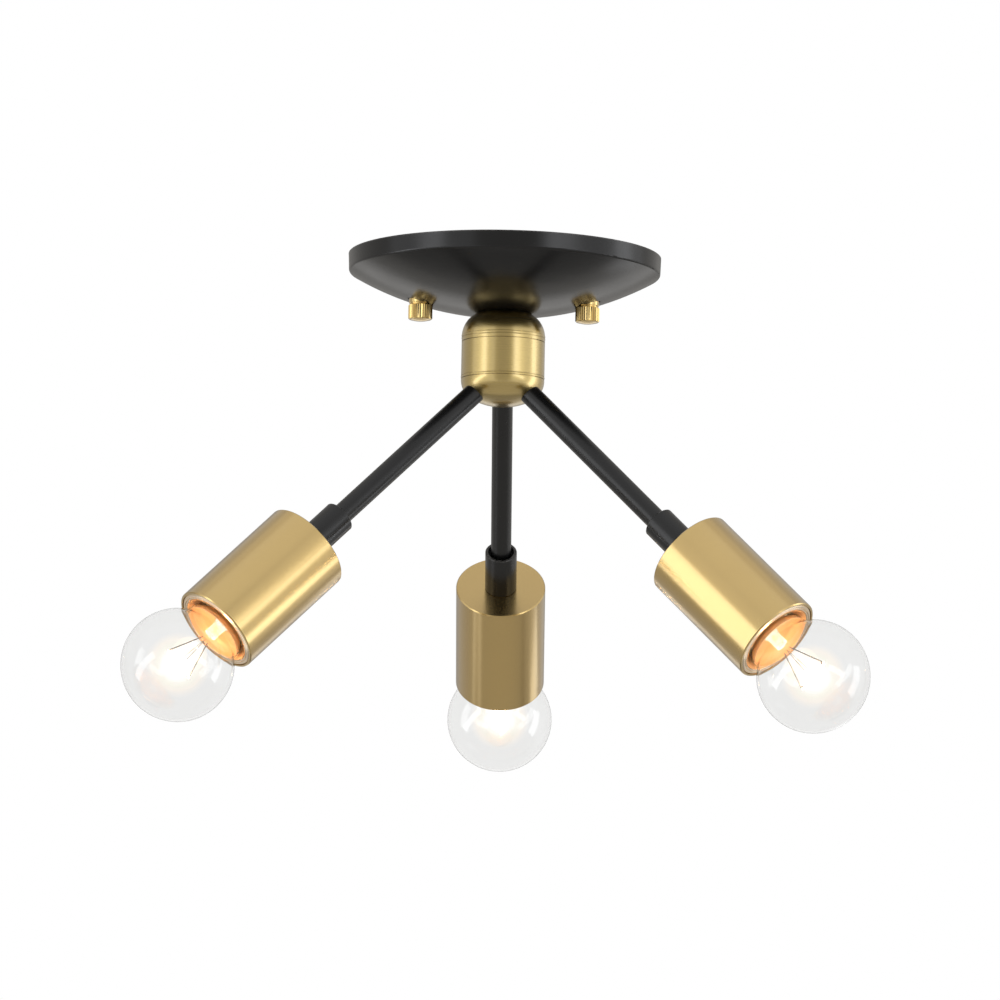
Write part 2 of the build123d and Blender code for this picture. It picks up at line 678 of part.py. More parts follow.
screwed_home = Rot(0, 0, LAMP_TURN)
ARM_PIECES = {
    "arm_tube": arm_tube(),
    "collar": collar(),
    "socket_cup": socket_cup(),
    "socket_body": socket_body(),
    "screw_shell": screw_shell(),
    "socket_contact": socket_contact(),
    "socket_ring": socket_ring(),
    "bulb_glass": bulb_glass(),
    "bulb_base": bulb_base(),
    "bulb_insulator": bulb_insulator(),
    "bulb_contact": bulb_contact(),
    "bulb_stem": screwed_home * bulb_stem(),
    "bulb_filament": screwed_home * bulb_filament(),
}

for arm, azimuth in ARM_AZIMUTHS.items():
    for name, piece in ARM_PIECES.items():
        save(f"{name}_{arm}", arm_place(azimuth) * piece)
    save(f"arm_wires_{arm}", arm_wires(azimuth))
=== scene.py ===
# %% [markdown]
# # Semi flush ceiling light
# This notebook dresses a ceiling light that was built as a CAD assembly: a black domed canopy, a short
# brass hub, three slanting black arms, and a brass cup with a clear globe lamp at the end of each arm.
# The CAD pieces are loaded first and never move. Blender adds finishes, the small wound and threaded
# pieces that CAD leaves plain, and a photo studio round it all.

# %% Load the CAD frame
import math

import bpy
from mathutils import Matrix, Vector


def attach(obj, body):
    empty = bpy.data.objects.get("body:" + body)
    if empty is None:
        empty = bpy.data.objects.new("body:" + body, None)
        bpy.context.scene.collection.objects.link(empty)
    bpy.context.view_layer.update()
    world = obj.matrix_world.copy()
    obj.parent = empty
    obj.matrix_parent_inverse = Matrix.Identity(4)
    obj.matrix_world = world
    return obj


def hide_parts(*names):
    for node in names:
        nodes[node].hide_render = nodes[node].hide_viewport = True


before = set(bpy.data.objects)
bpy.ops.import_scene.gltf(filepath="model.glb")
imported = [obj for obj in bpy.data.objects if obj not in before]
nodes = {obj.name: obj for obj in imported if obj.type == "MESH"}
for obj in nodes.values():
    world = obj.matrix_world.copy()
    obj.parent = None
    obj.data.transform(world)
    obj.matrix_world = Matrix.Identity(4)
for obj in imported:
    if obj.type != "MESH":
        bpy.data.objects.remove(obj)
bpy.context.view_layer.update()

# %% [markdown]
# ## Where things are
# Each arm leaves the hub's axis at one height, slants down at one angle and points its own way round.
# All that sits on an arm is therefore easiest to describe in the arm's own frame: Z runs out along the
# arm, and a matrix carries the finished piece to its place. Distances are in metres, from the hub's axis.

# %% Arm frames and the distances along an arm
ARM_AZIMUTHS = {"left": 210.0, "right": 330.0, "rear": 90.0}
ARM_TILT = 42.4
ARM_HEIGHT = -0.0508
GLOBE_AT = 0.2178
GLOBE_R = 0.025
HUB_AXIS = (0, 0, ARM_HEIGHT)
THUMB_X = 0.0381


def arm_turn(side):
    """How the arm's own axes are turned: Z along the arm, X down."""
    return (0.0, math.radians(90 + ARM_TILT), math.radians(ARM_AZIMUTHS[side]))


def arm_matrix(side):
    """Carries a mesh drawn along Z to its place on that arm."""
    x, y, z = arm_turn(side)
    turn = Matrix.Rotation(z, 4, "Z") @ Matrix.Rotation(y, 4, "Y")
    return Matrix.Translation((0, 0, ARM_HEIGHT)) @ turn


for side in ARM_AZIMUTHS:
    middle = arm_matrix(side) @ Vector((0, 0, GLOBE_AT))
    print(side, "globe's centre", [round(x, 4) for x in middle])

# %% [markdown]
# ## The camera
# The photograph was taken from far off with a long lens, a little below the lamps, looking up at 7
# degrees. A fit over a hundred points gave this place, turn and focal length, so nothing is guessed by
# eye. The light itself was turned half a degree, and here the camera is turned instead.

# %% Camera
CAMERA_AT = (0.0250, -2.5145, -0.4358)
SENSOR_MM = 36.0
LENS_MM = 200.9
CAMERA_YAW = 0.01
CAMERA_PITCH = 0.1281
CAMERA_ROLL = 0.0190
bpy.ops.object.camera_add(location=CAMERA_AT)
camera = bpy.context.object
camera.name = "photo_camera"
camera.data.sensor_width = SENSOR_MM
camera.data.lens = LENS_MM
look = Matrix.Rotation(CAMERA_YAW, 4, "Z") @ Matrix.Rotation(math.pi / 2 + CAMERA_PITCH, 4, "X")
camera.rotation_euler = (look @ Matrix.Rotation(CAMERA_ROLL, 4, "Z")).to_euler()
camera.data.clip_end = 50.0
scene = bpy.context.scene
scene.camera = camera
scene.view_settings.view_transform = "Standard"
print("lens", round(camera.data.lens, 1), "mm at", [round(x, 3) for x in camera.location])

# %% [markdown]
# ## The studio
# A product photograph on white needs two things at once: a background that is plain white, and light
# that leaves the object's own colours alone. The world is therefore white to the camera, to mirrors and
# to glass, while the light that it sheds on dull surfaces is set lower, because the soft boxes add theirs.

# %% Node helper


def maths(tree, operation, a, b=None, clamp=False):
    """A Math node fed with links or numbers."""
    node = tree.nodes.new("ShaderNodeMath")
    node.operation = operation
    node.use_clamp = clamp
    for socket, value in zip(node.inputs, (a, b)):
        if value is None:
            continue
        if isinstance(value, (int, float)):
            socket.default_value = value
        else:
            tree.links.new(value, socket)
    return node.outputs[0]


# %% World
SKY_LEVEL = 0.62
SKY_TONE = (1.0, 0.985, 0.96, 1.0)
world = bpy.data.worlds.new("studio_white")
scene.world = world
world.use_nodes = True
sky = world.node_tree
sky.nodes.clear()
sky_out = sky.nodes.new("ShaderNodeOutputWorld")
sky_mix = sky.nodes.new("ShaderNodeMixShader")
sky_seen = sky.nodes.new("ShaderNodeBackground")
sky_light = sky.nodes.new("ShaderNodeBackground")
sky_path = sky.nodes.new("ShaderNodeLightPath")
sky_seen.inputs["Color"].default_value = (1.0, 1.0, 1.0, 1.0)
sky_seen.inputs["Strength"].default_value = 1.0
sky_light.inputs["Color"].default_value = SKY_TONE
sky_light.inputs["Strength"].default_value = SKY_LEVEL
white_rays = maths(sky, "MAXIMUM", sky_path.outputs["Is Camera Ray"], sky_path.outputs["Is Glossy Ray"])
white_rays = maths(sky, "MAXIMUM", white_rays, sky_path.outputs["Is Transmission Ray"])
sky.links.new(white_rays, sky_mix.inputs["Fac"])
sky.links.new(sky_light.outputs[0], sky_mix.inputs[1])
sky.links.new(sky_seen.outputs[0], sky_mix.inputs[2])
sky.links.new(sky_mix.outputs[0], sky_out.inputs["Surface"])
print("world: white to the camera, level", SKY_LEVEL, "as light")

# %% [markdown]
# Brushed metal shows its studio: each bright band down a cup is a soft box, and each dark band is
# something grey. The boxes and the grey cards stand where the bands on the photograph's hub and cups
# say that they stood. A direction is given as seen from the light: azimuth from the camera's side,
# to the right positive, and elevation above the horizon.

# %% Soft boxes
MIDDLE = Vector((0.0, 0.0, -0.11))


def toward(azimuth, elevation, distance):
    """A point that far from the light in that direction."""
    a, e = math.radians(azimuth), math.radians(elevation)
    return MIDDLE + distance * Vector((math.sin(a) * math.cos(e), -math.cos(a) * math.cos(e), math.sin(e)))


def face_middle(obj, at, spin):
    """Put obj there with its -Z toward the light, spun about that line."""
    turn = (MIDDLE - at).to_track_quat("-Z", "Y").to_matrix().to_4x4()
    obj.matrix_world = Matrix.Translation(at) @ turn @ Matrix.Rotation(math.radians(spin), 4, "Z")


def soft_box(name, azimuth, elevation, wide, tall, level, spin=0.0, distance=2.2, colour=(1, 1, 1)):
    """An area light whose face looks level times as bright as white paper."""
    bpy.ops.object.light_add(type="AREA")
    box = bpy.context.object
    box.name = name
    box.data.shape = "RECTANGLE"
    box.data.size = 2 * distance * math.tan(math.radians(wide / 2))
    box.data.size_y = 2 * distance * math.tan(math.radians(tall / 2))
    box.data.color = colour
    box.data.energy = level * math.pi * box.data.size * box.data.size_y
    box.visible_camera = False
    face_middle(box, toward(azimuth, elevation, distance), spin)
    print(name, round(box.data.size, 2), "by", round(box.data.size_y, 2), "m, level", level)


BOX_WHITE = (0.98, 1.0, 1.03)
soft_box("key_left", -69, -4.5, 56, 13, 1.9, spin=36, colour=BOX_WHITE)
soft_box("key_right", 46.5, 4.5, 33, 11, 1.85, spin=-25, colour=BOX_WHITE)
soft_box("strip_right", 93, -7, 19, 40, 1.85, spin=-12, colour=BOX_WHITE)

# %% [markdown]
# The grey cards do the same for the dark bands. The three bounce cards are about as bright as paper or
# brighter, and mirror as soft light edges in the cups and the canopy's underside. No card is seen by the
# camera or through glass.

# %% Grey cards


def grey_card(name, azimuth, elevation, wide, tall, level, colour, distance=3.4):
    """A card that only shiny surfaces see, level times as bright as white paper."""
    half = distance * math.tan(math.radians(wide / 2)), distance * math.tan(math.radians(tall / 2))
    bpy.ops.mesh.primitive_grid_add(x_subdivisions=2, y_subdivisions=2, size=2)
    card = bpy.context.object
    card.name = name
    card.data.transform(Matrix.Diagonal((half[0], half[1], 1, 1)))
    face_middle(card, toward(azimuth, elevation, distance), 0)
    felt = bpy.data.materials.new(name + "_felt")
    felt.use_nodes = True
    felt.node_tree.nodes.clear()
    shine = felt.node_tree.nodes.new("ShaderNodeEmission")
    shine.inputs["Color"].default_value = (*colour, 1)
    shine.inputs["Strength"].default_value = level
    out = felt.node_tree.nodes.new("ShaderNodeOutputMaterial")
    felt.node_tree.links.new(shine.outputs[0], out.inputs["Surface"])
    card.data.materials.append(felt)
    for kind in ("camera", "diffuse", "transmission", "volume_scatter", "shadow"):
        setattr(card, "visible_" + kind, False)
    print(name, round(2 * half[0], 2), "by", round(2 * half[1], 2), "m, level", level)


CARD_GREY = (1.0, 0.97, 0.92)
grey_card("card_front", 2, 8, 46, 60, 0.50, CARD_GREY)
grey_card("card_rear_left", -122, 4, 60, 60, 0.50, CARD_GREY)
grey_card("card_rear_right", 140, 4, 40, 60, 0.55, CARD_GREY)
grey_card("card_rear_mid", 182, 2, 68, 66, 0.39, CARD_GREY, distance=3.6)
grey_card("card_rear_high", 180, 50, 110, 36, 0.60, CARD_GREY, distance=3.8)
grey_card("card_top", 180, 77, 70, 26, 0.80, CARD_GREY, distance=4.0)
grey_card("bounce_rear_right", 143.4, -24.6, 9, 13.5, 1.5, (1.0, 1.0, 1.0), distance=0.415)
grey_card("bounce_rear_left", -113, -45, 16, 16, 1.15, (1.0, 1.0, 1.0), distance=3.0)
grey_card("card_rear_low", 180, -57, 84, 26, 0.30, CARD_GREY, distance=2.2)
grey_card("bounce_rear_low", 180, -22, 64, 15, 0.95, (1.0, 0.98, 0.95), distance=3.2)

# %% [markdown]
# The floor is pale paper far below. It only throws light and shows in the metal: to the camera, and
# through the clear globes, it is plain white like the rest of the background.

# %% Floor
FLOOR_Z = -3.3
FLOOR_R = 7.0
bpy.ops.mesh.primitive_circle_add(vertices=96, radius=FLOOR_R, fill_type="NGON", location=(0, 0, FLOOR_Z))
floor = bpy.context.object
floor.name = "floor"
paper = bpy.data.materials.new("floor_paper")
paper.use_nodes = True
paper_tree = paper.node_tree
paper_skin = paper_tree.nodes["Principled BSDF"]
paper_skin.inputs["Base Color"].default_value = (0.80, 0.78, 0.745, 1)
paper_skin.inputs["Roughness"].default_value = 0.9
paper_seen = paper_tree.nodes.new("ShaderNodeEmission")
paper_mix = paper_tree.nodes.new("ShaderNodeMixShader")
paper_path = paper_tree.nodes.new("ShaderNodeLightPath")
paper_out = paper_tree.nodes["Material Output"]
white_rays = maths(paper_tree, "MAXIMUM", paper_path.outputs["Is Camera Ray"],
                   paper_path.outputs["Is Transmission Ray"])
paper_tree.links.new(white_rays, paper_mix.inputs["Fac"])
paper_tree.links.new(paper_skin.outputs[0], paper_mix.inputs[1])
paper_tree.links.new(paper_seen.outputs[0], paper_mix.inputs[2])
paper_tree.links.new(paper_mix.outputs[0], paper_out.inputs["Surface"])
floor.data.materials.append(paper)
print("floor", round(-floor.location.z, 2), "m below the ceiling")

# %% [markdown]
# ## Finishes
# Real surfaces are never one flat value. Four effects turn up on several finishes here, so each is a
# node group built once: the fine lines that a lathe or brush leaves, the slight ripple of sprayed
# paint, a rubbed edge that is partly a painted highlight, and dust. A group gives out only masks and
# heights; each material decides what to do with them.

# %% Group helpers


def new_group(name, inputs, outputs):
    """An empty shader group with those sockets; gives the group and its two ends."""
    group = bpy.data.node_groups.new(name, "ShaderNodeTree")
    for label, kind, value in inputs:
        socket = group.interface.new_socket(name=label, in_out="INPUT", socket_type=kind)
        if value is not None:
            socket.default_value = value
    for label, kind in outputs:
        group.interface.new_socket(name=label, in_out="OUTPUT", socket_type=kind)
    return group, group.nodes.new("NodeGroupInput"), group.nodes.new("NodeGroupOutput")


def noise(tree, vector, scale, detail=2.0, rough=0.5):
    """A Noise node on that vector; scale is a link or a number."""
    node = tree.nodes.new("ShaderNodeTexNoise")
    tree.links.new(vector, node.inputs["Vector"])
    if isinstance(scale, (int, float)):
        node.inputs["Scale"].default_value = scale
    else:
        tree.links.new(scale, node.inputs["Scale"])
    node.inputs["Detail"].default_value = detail
    node.inputs["Roughness"].default_value = rough
    return node.outputs["Fac"]


# %% Group: turned lines
FLOAT, VECTOR = "NodeSocketFloat", "NodeSocketVector"
turned, turned_in, turned_out = new_group(
    "turned_lines",
    [("Vector", VECTOR, None), ("Fineness", FLOAT, 5000.0), ("Reach", FLOAT, 60.0)],
    [("Lines", FLOAT), ("Patches", FLOAT)],
)
split = turned.nodes.new("ShaderNodeSeparateXYZ")
turned.links.new(turned_in.outputs["Vector"], split.inputs[0])
join = turned.nodes.new("ShaderNodeCombineXYZ")
for axis, stretch in (("X", "Reach"), ("Y", "Reach"), ("Z", "Fineness")):
    stretched = maths(turned, "MULTIPLY", split.outputs[axis], turned_in.outputs[stretch])
    turned.links.new(stretched, join.inputs[axis])
turned.links.new(noise(turned, join.outputs[0], 1.0, 3.0, 0.6), turned_out.inputs["Lines"])
turned.links.new(noise(turned, turned_in.outputs["Vector"], 90.0, 2.0, 0.5), turned_out.inputs["Patches"])
print("turned_lines: fine rings round Z, and slow patches")

# %% Group: paint ripple
ripple, ripple_in, ripple_out = new_group(
    "paint_ripple",
    [("Vector", VECTOR, None), ("Size", FLOAT, 900.0)],
    [("Height", FLOAT), ("Patches", FLOAT)],
)
wide_wave = noise(ripple, ripple_in.outputs["Vector"], ripple_in.outputs["Size"], 1.0, 0.4)
fine_size = maths(ripple, "MULTIPLY", ripple_in.outputs["Size"], 4.0)
fine_wave = noise(ripple, ripple_in.outputs["Vector"], fine_size, 2.0, 0.5)
both_waves = maths(ripple, "ADD", wide_wave, maths(ripple, "MULTIPLY", fine_wave, 0.35))
ripple.links.new(both_waves, ripple_out.inputs["Height"])
ripple.links.new(noise(ripple, ripple_in.outputs["Vector"], 45.0, 2.0, 0.5), ripple_out.inputs["Patches"])
print("paint_ripple: orange peel in two sizes")

# %% Group: rubbed edge with painted highlight
rubbed, wear_highlight_in, wear_highlight_out = new_group(
    "rubbed_edge",
    [("Vector", VECTOR, None), ("At", FLOAT, 0.0), ("Width", FLOAT, 0.001)],
    [("Mask", FLOAT)],
)
# The mask is a lighter band at a height along Z, torn by noise: rubbed paint, and partly a painted highlight
# where an edge catches the light.
wear_highlight_split = rubbed.nodes.new("ShaderNodeSeparateXYZ")
rubbed.links.new(wear_highlight_in.outputs["Vector"], wear_highlight_split.inputs[0])
away = maths(rubbed, "SUBTRACT", wear_highlight_split.outputs["Z"], wear_highlight_in.outputs["At"])
away = maths(rubbed, "ABSOLUTE", away)
near = maths(rubbed, "DIVIDE", away, wear_highlight_in.outputs["Width"])
near = maths(rubbed, "SUBTRACT", 1.0, near, clamp=True)
torn = noise(rubbed, wear_highlight_in.outputs["Vector"], 1400.0, 3.0, 0.7)
torn = maths(rubbed, "MULTIPLY", maths(rubbed, "SUBTRACT", torn, 0.38), 4.0, clamp=True)
rubbed.links.new(maths(rubbed, "MULTIPLY", near, torn), wear_highlight_out.inputs["Mask"])
print("rubbed_edge: a torn band at a height along Z")

# %% Group: dust
dust, dust_in, dust_out = new_group(
    "dust_specks", [("Vector", VECTOR, None), ("Amount", FLOAT, 0.3)], [("Mask", FLOAT)]
)
cells = dust.nodes.new("ShaderNodeTexVoronoi")
cells.inputs["Scale"].default_value = 700.0
dust.links.new(dust_in.outputs["Vector"], cells.inputs["Vector"])
speck = maths(dust, "LESS_THAN", cells.outputs["Distance"], 0.12)
clumps = noise(dust, dust_in.outputs["Vector"], 160.0, 2.0, 0.6)
clumps = maths(dust, "GREATER_THAN", clumps, 0.52)
few = maths(dust, "MULTIPLY", maths(dust, "MULTIPLY", speck, clumps), dust_in.outputs["Amount"])
dust.links.new(few, dust_out.inputs["Mask"])
print("dust_specks: sparse fine specks")

# %% Material helpers


def finish_of(name, colour, metal=0.0, rough=0.4, coat=0.0, coat_rough=0.1, ior=1.5):
    """A material with a Principled BSDF at those plain values; gives it with its tree and shader."""
    material = bpy.data.materials.new(name)
    material.use_nodes = True
    tree = material.node_tree
    skin = tree.nodes["Principled BSDF"]
    skin.inputs["Base Color"].default_value = (*colour, 1)
    skin.inputs["Metallic"].default_value = metal
    skin.inputs["Roughness"].default_value = rough
    skin.inputs["Coat Weight"].default_value = coat
    skin.inputs["Coat Roughness"].default_value = coat_rough
    skin.inputs["IOR"].default_value = ior
    return material, tree, skin


def place(tree, at=(0, 0, 0), turn=(0, 0, 0)):
    """Object coordinates seen from a point and turned axes."""
    where = tree.nodes.new("ShaderNodeTexCoord")
    mapping = tree.nodes.new("ShaderNodeMapping")
    mapping.vector_type = "TEXTURE"
    mapping.inputs["Location"].default_value = at
    mapping.inputs["Rotation"].default_value = turn
    tree.links.new(where.outputs["Object"], mapping.inputs["Vector"])
    return mapping.outputs[0]


def put(tree, group, vector, **values):
    """That node group on that vector, with its own values."""
    node = tree.nodes.new("ShaderNodeGroup")
    node.node_tree = group
    tree.links.new(vector, node.inputs["Vector"])
    for label, value in values.items():
        node.inputs[label].default_value = value
    return node.outputs


def spread(tree, value, low, high):
    """A mask from 0 to 1 spread between two values."""
    node = tree.nodes.new("ShaderNodeMapRange")
    node.inputs["From Min"].default_value = 0.3
    node.inputs["From Max"].default_value = 0.7
    node.inputs["To Min"].default_value = low
    node.inputs["To Max"].default_value = high
    tree.links.new(value, node.inputs["Value"])
    return node.outputs[0]


def tint(tree, mask, first, second):
    """One colour turning into another by a mask."""
    node = tree.nodes.new("ShaderNodeMix")
    node.data_type = "RGBA"
    node.inputs["A"].default_value = (*first, 1)
    node.inputs["B"].default_value = (*second, 1)
    tree.links.new(mask, node.inputs["Factor"])
    return node.outputs["Result"]


def raise_by(tree, skin, height, distance, strength=1.0):
    """Let a height tilt the surface's light."""
    node = tree.nodes.new("ShaderNodeBump")
    node.inputs["Strength"].default_value = strength
    node.inputs["Distance"].default_value = distance
    tree.links.new(height, node.inputs["Height"])
    tree.links.new(node.outputs[0], skin.inputs["Normal"])


def dress(material, *names):
    """Give those CAD pieces that material."""
    for name in names:
        mesh = nodes[name].data
        mesh.materials.clear()
        mesh.materials.append(material)


# %% [markdown]
# ### Brass
# The hub and the cups are brass under clear lacquer, brushed in the lathe, so the fine lines run round
# them. A metallic surface at medium roughness gives the wide soft bands, and fine rings in the
# roughness and the normal break them up. Each cup slants its own way, so its lines are drawn in its
# own arm's frame.

# %% Brass
BRASS = (0.522, 0.345, 0.081)
BRASS_DEEP = (0.502, 0.328, 0.073)


def brass(name, at, turn, rough=0.235, fineness=6500.0, lift=0.0000006, colours=(BRASS_DEEP, BRASS)):
    """Lacquered brass with fine rings round its own Z."""
    material, tree, skin = finish_of(name, BRASS, metal=1.0, rough=rough, coat=1.0, coat_rough=0.2)
    skin.inputs["Coat IOR"].default_value = 1.95
    vector = place(tree, at, turn)
    lines = put(tree, turned, vector, Fineness=fineness, Reach=14.0)
    specks = put(tree, dust, vector, Amount=0.04)
    tree.links.new(tint(tree, lines["Patches"], *colours), skin.inputs["Base Color"])
    grain = spread(tree, lines["Lines"], rough - 0.015, rough + 0.02)
    tree.links.new(maths(tree, "ADD", grain, specks["Mask"]), skin.inputs["Roughness"])
    raise_by(tree, skin, lines["Lines"], lift)
    return material


HUB_COLOURS = ((0.490, 0.346, 0.080), (0.515, 0.368, 0.092))
hub_brass = brass("hub_brass_turned", HUB_AXIS, (0, 0, 0), rough=0.28, lift=0.0000008, colours=HUB_COLOURS)
dress(hub_brass, "hub_top_cap", "hub_sleeve", "hub_body")
for side in ARM_AZIMUTHS:
    cup_brass = brass("cup_brass_" + side, HUB_AXIS, arm_turn(side))
    dress(cup_brass, "socket_cup_" + side)
    ring_brass = brass("ring_brass_" + side, HUB_AXIS, arm_turn(side), rough=0.06, lift=0.0000004)
    dress(ring_brass, "socket_ring_" + side)
NUT_COLOURS = ((0.66, 0.45, 0.11), (0.72, 0.50, 0.14))
for hand, x in (("left", -THUMB_X), ("right", THUMB_X)):
    nut_brass = brass("thumb_brass_" + hand, (x, 0, 0), (0, 0, 0), rough=0.12, lift=0.0000005,
                      colours=NUT_COLOURS)
    dress(nut_brass, "thumb_nut_" + hand)
print("brass:", len([m for m in bpy.data.materials if "brass" in m.name]), "materials")

# %% [markdown]
# ### Black paint
# The canopy, arms and collars are sprayed a satin black. The paint's own colour is nearly nothing, so
# what shows is its gloss: a plain dielectric at medium roughness, with the slight ripple that spraying
# leaves. The canopy's rim and the collars' lips are painted a little lighter: rubbed paint, and partly a
# painted highlight where those edges catch the light.

# %% Black paint
BLACK = (0.0055, 0.0056, 0.0060)
# The lighter grey of dust specks and of the rim and collar edges; on the edges it is partly a painted
# highlight.
DUST_WEAR_AND_HIGHLIGHT = (0.10, 0.095, 0.09)
RIM_EDGES = ((-0.0002, 0.0005),)
COLLAR_EDGES = ((0.1113, 0.0004), (0.1331, 0.0004))


def black_paint(name, at=(0, 0, 0), turn=(0, 0, 0), rough=0.3, edges=(), size=900.0):
    """Satin black, rippled, with edges at those heights painted lighter: rubbed paint and a painted
    highlight.
    """
    material, tree, skin = finish_of(name, BLACK, rough=rough, ior=1.45)
    vector = place(tree, at, turn)
    wave = put(tree, ripple, vector, Size=size)
    specks = put(tree, dust, vector, Amount=0.08)
    grain = spread(tree, wave["Patches"], rough - 0.03, rough + 0.04)
    tree.links.new(maths(tree, "ADD", grain, specks["Mask"]), skin.inputs["Roughness"])
    raise_by(tree, skin, wave["Height"], 0.000004, 0.6)
    mask = specks["Mask"]
    # Edges at those heights are painted lighter: rubbed paint, and partly a painted highlight.
    for edge, width in edges:
        rub = put(tree, rubbed, vector, At=edge, Width=width)
        mask = maths(tree, "MAXIMUM", mask, rub["Mask"])
    tree.links.new(tint(tree, mask, BLACK, DUST_WEAR_AND_HIGHLIGHT), skin.inputs["Base Color"])
    return material


dress(black_paint("canopy_paint", rough=0.22, edges=RIM_EDGES), "canopy")
for side in ARM_AZIMUTHS:
    dress(black_paint("arm_paint_" + side, HUB_AXIS, arm_turn(side), rough=0.28), "arm_tube_" + side)
    collar_paint = black_paint("collar_paint_" + side, HUB_AXIS, arm_turn(side), rough=0.26,
                               edges=COLLAR_EDGES)
    dress(collar_paint, "collar_" + side)
print("paint:", len([m for m in bpy.data.materials if "paint" in m.name]), "materials")

# %% [markdown]
# ### What hides inside
# From above one looks into the canopy, and with a lamp drawn out one looks into its holder. Zinc plate
# has dull clouds, copper is stained, and porcelain glaze has faint waves and specks. One helper gives each
# of them its clouds, its wandering gloss and its grain.

# %% Hidden metal, porcelain and wires


def worked(name, colour, deep, rough, metal=1.0, size=900.0, lift=0.000003, **more):
    """A clouded finish whose colour, gloss and grain all wander a little."""
    material, tree, skin = finish_of(name, colour, metal=metal, rough=rough, **more)
    vector = place(tree)
    wave = put(tree, ripple, vector, Size=size)
    specks = put(tree, dust, vector, Amount=0.12)
    clouds = maths(tree, "ADD", spread(tree, wave["Patches"], 0.0, 1.0), specks["Mask"], clamp=True)
    tree.links.new(tint(tree, clouds, deep, colour), skin.inputs["Base Color"])
    grain = spread(tree, wave["Height"], max(rough - 0.05, 0.0), rough + 0.07)
    tree.links.new(maths(tree, "ADD", grain, specks["Mask"]), skin.inputs["Roughness"])
    raise_by(tree, skin, wave["Height"], lift)
    return material


zinc = worked("zinc_plate", (0.60, 0.61, 0.61), (0.44, 0.45, 0.47), 0.34, size=1300.0)
dress(zinc, "box_strap", "canopy_strap", "strap_eyelet", "canopy_studs", "stud_lock_nuts",
      "centre_nipple", "nipple_nut", "lock_washer", "arm_nuts")
green = worked("green_screw", (0.05, 0.30, 0.10), (0.03, 0.20, 0.07), 0.35, metal=0.3)
dress(green, "ground_screw")
copper = worked("bare_copper", (0.76, 0.38, 0.21), (0.52, 0.24, 0.13), 0.3)
dress(copper, "ground_lead")
sleeve = worked("wire_sleeve", (0.82, 0.80, 0.74), (0.68, 0.65, 0.58), 0.55, metal=0.0, size=2600.0)
porcelain = worked("porcelain_glaze", (0.82, 0.79, 0.73), (0.74, 0.70, 0.63), 0.18, metal=0.0,
                   size=300.0, coat=0.5)
shell_brass = worked("contact_brass_plain", (0.66, 0.48, 0.20), (0.50, 0.34, 0.13), 0.3)
for side in ARM_AZIMUTHS:
    dress(sleeve, "arm_wires_" + side)
    dress(porcelain, "socket_body_" + side)
    dress(shell_brass, "screw_shell_" + side, "socket_contact_" + side)
print("inside:", ", ".join(m.name for m in (zinc, green, copper, sleeve, porcelain, shell_brass)))

# %% [markdown]
# ### Glass and the lamp
# A clear globe is thin glass on both sides of an empty space, and it is nearly invisible on white: it
# shows by its grey rim, where the light crosses more glass, and by the boxes that it mirrors. Its gloss
# fades toward the rim, and specks of dust and a slight haze lie on it. The glow is a set of round
# lights, one within another, so that it fades outwards as a bright lamp does.

# %% Glass
glass, glass_tree, glass_skin = finish_of("clear_glass_thin", (0.917, 0.917, 0.912), rough=0.0, ior=1.1)
glass_skin.inputs["Transmission Weight"].default_value = 1.0
glass_skin.inputs["Coat IOR"].default_value = 1.6
glass_at = place(glass_tree)
glass_specks = put(glass_tree, dust, glass_at, Amount=0.16)
glass_tree.links.new(glass_specks["Mask"], glass_skin.inputs["Roughness"])
glass_wave = put(glass_tree, ripple, glass_at, Size=90.0)
glass_haze = spread(glass_tree, glass_wave["Height"], 0.03, 0.08)
glass_tree.links.new(glass_haze, glass_skin.inputs["Coat Roughness"])
glass_facing = glass_tree.nodes.new("ShaderNodeLayerWeight")
glass_gloss = glass_tree.nodes.new("ShaderNodeMapRange")
for label, value in (("From Min", 0.28), ("From Max", 0.50), ("To Min", 0.7), ("To Max", 0.0)):
    glass_gloss.inputs[label].default_value = value
glass_tree.links.new(glass_facing.outputs["Facing"], glass_gloss.inputs["Value"])
glass_tree.links.new(glass_gloss.outputs[0], glass_skin.inputs["Coat Weight"])
print("globe glass: index", glass_skin.inputs["IOR"].default_value)

# %% Stem glass with a painted glow, base and filament
stem_glass, stem_tree, stem_skin = finish_of("stem_glass_pressed", (1.0, 0.97, 0.93), rough=0.03, ior=1.4)
stem_wave = put(stem_tree, ripple, place(stem_tree), Size=420.0)
raise_by(stem_tree, stem_skin, stem_wave["Height"], 0.0006)
# The stem glass gets a painted glow: emission from dark orange to cream that stands in for the filament's
# light on it, though the stem is no lamp.
painted_glow_mask = spread(stem_tree, stem_wave["Height"], -0.6, 1.0)
painted_glow_colour = tint(stem_tree, painted_glow_mask, (0.55, 0.20, 0.04), (1.0, 0.92, 0.78))
stem_tree.links.new(painted_glow_colour, stem_skin.inputs["Emission Color"])
stem_skin.inputs["Transmission Weight"].default_value = 1.0
stem_skin.inputs["Emission Strength"].default_value = 0.45
lamp_metal = worked("lamp_base_metal", (0.68, 0.53, 0.29), (0.55, 0.40, 0.19), 0.24)
black_glass = worked("insulator_glass", (0.020, 0.020, 0.025), (0.012, 0.012, 0.016), 0.08, metal=0.0,
                     size=400.0)
solder = worked("solder_button", (0.66, 0.66, 0.66), (0.48, 0.49, 0.51), 0.42, size=1800.0, lift=0.00001)
tungsten = worked("filament_glow", (0.30, 0.26, 0.20), (0.22, 0.19, 0.15), 0.4)
tungsten_skin = tungsten.node_tree.nodes["Principled BSDF"]
tungsten_skin.inputs["Emission Color"].default_value = (1.0, 0.72, 0.42, 1)
tungsten_skin.inputs["Emission Strength"].default_value = 12.0
